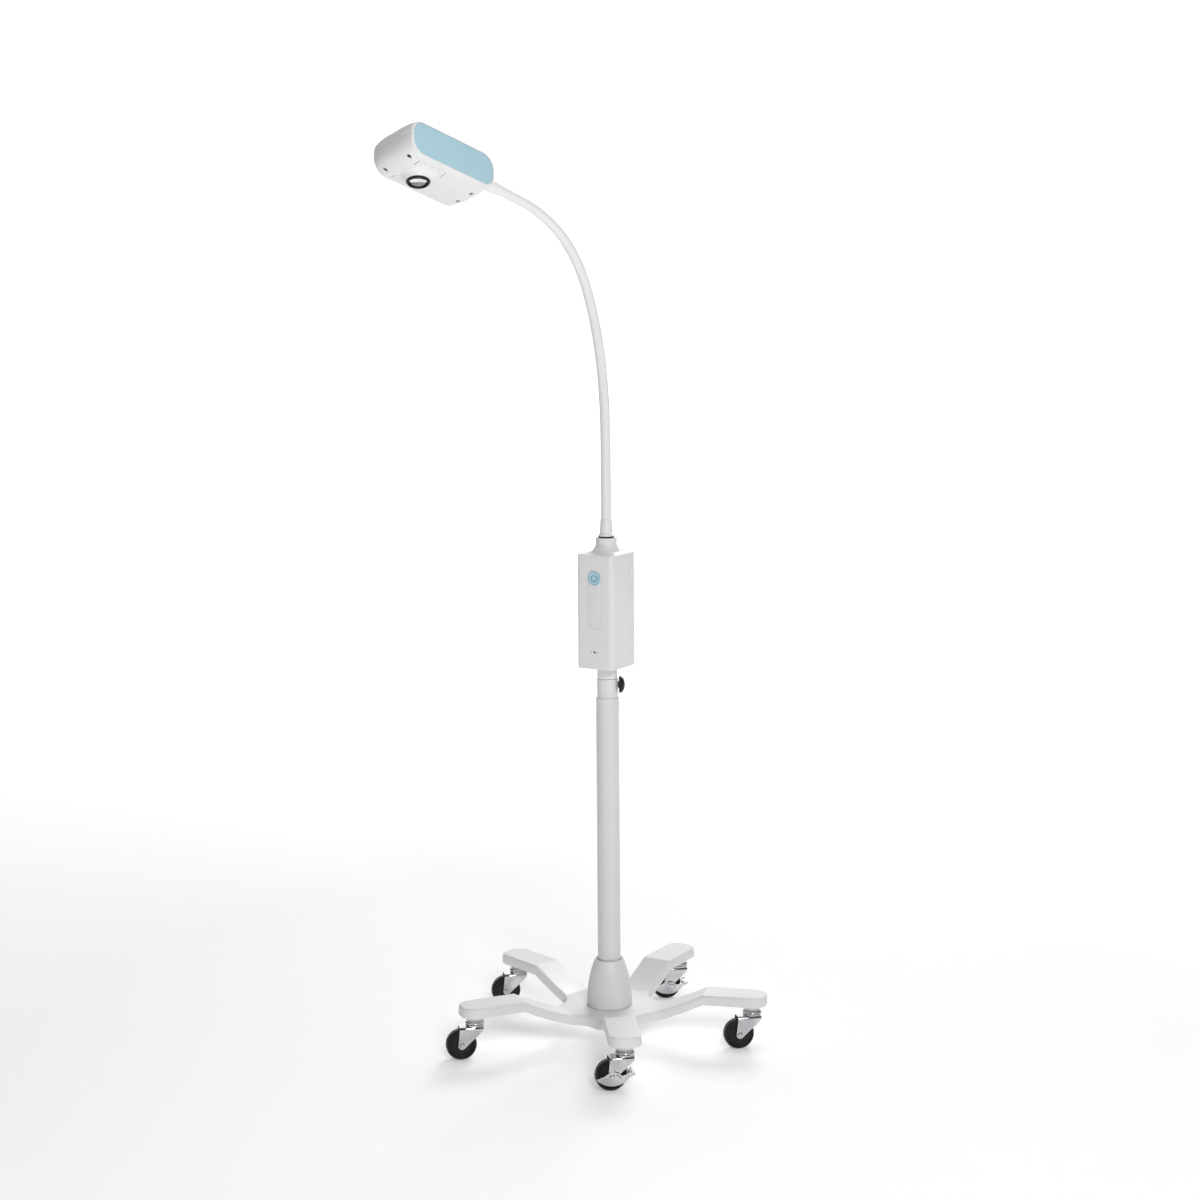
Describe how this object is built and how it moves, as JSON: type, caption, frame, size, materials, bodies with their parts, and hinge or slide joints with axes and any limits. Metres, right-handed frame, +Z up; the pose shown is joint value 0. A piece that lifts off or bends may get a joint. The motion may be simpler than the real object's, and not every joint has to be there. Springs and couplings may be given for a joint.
{
  "type": "mobile examination light",
  "caption": "Floor-standing medical examination light: caster base, pole, power unit, gooseneck and a rolled head with one lens.",
  "frame": {"origin": "on the floor under the pole axis", "axes": "+Z up along the pole; -Y is where the power unit's icon face looks; +X is to that face's right as seen from the front"},
  "size_m": [0.5269, 0.6842, 1.497],
  "materials": {
    "powder_coat": "fine white powder coat over a casting",
    "pole_paint": "smooth white paint on steel tube",
    "white_plastic": "white moulded plastic, satin",
    "neck_sheath": "smooth white sleeve",
    "blue_panel": "pale blue moulded plastic",
    "chrome": "bright chrome plate",
    "black_wheel": "black, satin",
    "black_plastic": "black moulded plastic",
    "strip_grey": "pale translucent strip",
    "circuit_green": "green board",
    "bare_aluminium": "bare",
    "zinc_steel": "zinc plated",
    "clear_lens": "clear moulded lens"
  },
  "bodies": {
    "stand": {"base_star": "powder_coat", "base_bolt": "zinc_steel", "pole_plug": "zinc_steel", "pole": "pole_paint", "cone_cover": "white_plastic", "pole_insert": "pole_paint", "caster_stem_1": "chrome", "caster_stem_2": "chrome", "caster_stem_3": "chrome", "caster_stem_4": "chrome", "caster_stem_5": "chrome"},
    "knob": {"clamp_knob": "black_plastic"},
    "power_unit": {"unit_front": "white_plastic", "unit_rear": "white_plastic", "mount_pin": "zinc_steel", "sensor_strip": "strip_grey", "power_icon": "blue_panel", "sensor_window": "black_plastic", "driver_board": "circuit_green", "power_inlet": "black_plastic", "neck_o_ring": "black_plastic"},
    "neck_base": {"neck_ferrule": "white_plastic", "neck_00": "neck_sheath"},
    "neck_link_1": {"neck_01": "neck_sheath"},
    "neck_link_2": {"neck_02": "neck_sheath"},
    "neck_link_3": {"neck_03": "neck_sheath"},
    "neck_link_4": {"neck_04": "neck_sheath"},
    "neck_link_5": {"neck_05": "neck_sheath"},
    "neck_link_6": {"neck_06": "neck_sheath"},
    "neck_link_7": {"neck_07": "neck_sheath"},
    "neck_link_8": {"neck_08": "neck_sheath"},
    "neck_link_9": {"neck_09": "neck_sheath"},
    "neck_link_10": {"neck_10": "neck_sheath"},
    "head": {"neck_gland": "white_plastic", "head_lower": "white_plastic", "head_upper": "white_plastic", "side_panel_near": "blue_panel", "side_panel_far": "blue_panel", "lens_bezel": "black_plastic", "lens": "clear_lens", "reflector": "chrome", "led_board": "circuit_green", "heat_sink": "bare_aluminium"},
    "caster_1": {"caster_fork_1": "chrome", "caster_axle_1": "chrome"},
    "wheel_1": {"caster_wheel_1": "black_wheel"},
    "brake_1": {"brake_lever_1": "chrome"},
    "caster_2": {"caster_fork_2": "chrome", "caster_axle_2": "chrome"},
    "wheel_2": {"caster_wheel_2": "black_wheel"},
    "caster_3": {"caster_fork_3": "chrome", "caster_axle_3": "chrome"},
    "wheel_3": {"caster_wheel_3": "black_wheel"},
    "caster_4": {"caster_fork_4": "chrome", "caster_axle_4": "chrome"},
    "wheel_4": {"caster_wheel_4": "black_wheel"},
    "brake_4": {"brake_lever_4": "chrome"},
    "caster_5": {"caster_fork_5": "chrome", "caster_axle_5": "chrome"},
    "wheel_5": {"caster_wheel_5": "black_wheel"}
  },
  "joints": [
    {"name": "clamp_turn", "type": "hinge", "parent": "stand", "child": "knob", "pos_m": [0, 0, 0.604], "axis": [0.8387, 0.5446, 0], "range_deg": [0, 360]},
    {"name": "unit_swivel", "type": "hinge", "parent": "stand", "child": "power_unit", "pos_m": [0, 0, 0.6], "axis": [0, 0, 1], "continuous": true},
    {"name": "neck_swivel", "type": "hinge", "parent": "power_unit", "child": "neck_base", "pos_m": [0, 0, 0.8493], "axis": [0, 0, 1], "range_deg": [-160, 160]},
    {"name": "neck_bend_1", "type": "hinge", "parent": "neck_base", "child": "neck_link_1", "pos_m": [0, 0, 0.92], "axis": [0.9583, -0.2857, 0], "range_deg": [-14, 12]},
    {"name": "neck_bend_2", "type": "hinge", "parent": "neck_link_1", "child": "neck_link_2", "pos_m": [-0.00002, -0.00008, 0.982], "axis": [0.9583, -0.2857, 0], "range_deg": [-14, 12]},
    {"name": "neck_sway_3", "type": "hinge", "parent": "neck_link_2", "child": "neck_link_3", "pos_m": [-0.00033, -0.00111, 1.04399], "axis": [-0.2855, -0.9578, -0.0314], "range_deg": [-18, 18]},
    {"name": "neck_bend_4", "type": "hinge", "parent": "neck_link_3", "child": "neck_link_4", "pos_m": [-0.00161, -0.00539, 1.10581], "axis": [0.9583, -0.2857, 0], "range_deg": [-14, 12]},
    {"name": "neck_bend_5", "type": "hinge", "parent": "neck_link_4", "child": "neck_link_5", "pos_m": [-0.00438, -0.01469, 1.16702], "axis": [0.9583, -0.2857, 0], "range_deg": [-14, 12]},
    {"name": "neck_sway_6", "type": "hinge", "parent": "neck_link_5", "child": "neck_link_6", "pos_m": [-0.00887, -0.02975, 1.22696], "axis": [-0.2713, -0.9099, -0.3138], "range_deg": [-18, 18]},
    {"name": "neck_bend_7", "type": "hinge", "parent": "neck_link_6", "child": "neck_link_7", "pos_m": [-0.01561, -0.05235, 1.28424], "axis": [0.9583, -0.2857, 0], "range_deg": [-22, 14]},
    {"name": "neck_bend_8", "type": "hinge", "parent": "neck_link_7", "child": "neck_link_8", "pos_m": [-0.02612, -0.08763, 1.33383], "axis": [0.9583, -0.2857, 0], "range_deg": [-22, 14]},
    {"name": "neck_sway_9", "type": "hinge", "parent": "neck_link_8", "child": "neck_link_9", "pos_m": [-0.04026, -0.13506, 1.37085], "axis": [-0.1383, -0.464, -0.875], "range_deg": [-25, 25]},
    {"name": "neck_bend_10", "type": "hinge", "parent": "neck_link_9", "child": "neck_link_10", "pos_m": [-0.05651, -0.18956, 1.3954], "axis": [0.9583, -0.2857, 0], "range_deg": [-22, 14]},
    {"name": "head_roll", "type": "hinge", "parent": "neck_link_10", "child": "head", "pos_m": [-0.0759, -0.25459, 1.41948], "axis": [-0.2695, -0.9039, 0.3322], "range_deg": [-60, 60]},
    {"name": "caster_swivel_1", "type": "hinge", "parent": "stand", "child": "caster_1", "pos_m": [0, 0.2416, 0.0595], "axis": [0, 0, 1], "continuous": true},
    {"name": "wheel_spin_1", "type": "hinge", "parent": "caster_1", "child": "wheel_1", "pos_m": [-0.0171, 0.22652, 0.0254], "axis": [-0.6613, 0.7501, 0], "continuous": true},
    {"name": "brake_press_1", "type": "hinge", "parent": "caster_1", "child": "brake_1", "pos_m": [-0.0171, 0.22652, 0.0254], "axis": [-0.6613, 0.7501, 0], "range_deg": [0, 12]},
    {"name": "caster_swivel_2", "type": "hinge", "parent": "stand", "child": "caster_2", "pos_m": [-0.22978, 0.07466, 0.0595], "axis": [0, 0, 1], "continuous": true},
    {"name": "wheel_spin_2", "type": "hinge", "parent": "caster_2", "child": "wheel_2", "pos_m": [-0.24688, 0.05958, 0.0254], "axis": [-0.6613, 0.7501, 0], "continuous": true},
    {"name": "caster_swivel_3", "type": "hinge", "parent": "stand", "child": "caster_3", "pos_m": [-0.14201, -0.19546, 0.0595], "axis": [0, 0, 1], "continuous": true},
    {"name": "wheel_spin_3", "type": "hinge", "parent": "caster_3", "child": "wheel_3", "pos_m": [-0.15911, -0.21054, 0.0254], "axis": [-0.6613, 0.7501, 0], "continuous": true},
    {"name": "caster_swivel_4", "type": "hinge", "parent": "stand", "child": "caster_4", "pos_m": [0.14201, -0.19546, 0.0595], "axis": [0, 0, 1], "continuous": true},
    {"name": "wheel_spin_4", "type": "hinge", "parent": "caster_4", "child": "wheel_4", "pos_m": [0.12491, -0.21054, 0.0254], "axis": [-0.6613, 0.7501, 0], "continuous": true},
    {"name": "brake_press_4", "type": "hinge", "parent": "caster_4", "child": "brake_4", "pos_m": [0.12491, -0.21054, 0.0254], "axis": [-0.6613, 0.7501, 0], "range_deg": [0, 12]},
    {"name": "caster_swivel_5", "type": "hinge", "parent": "stand", "child": "caster_5", "pos_m": [0.22978, 0.07466, 0.0595], "axis": [0, 0, 1], "continuous": true},
    {"name": "wheel_spin_5", "type": "hinge", "parent": "caster_5", "child": "wheel_5", "pos_m": [0.21267, 0.05958, 0.0254], "axis": [-0.6613, 0.7501, 0], "continuous": true}
  ]
}
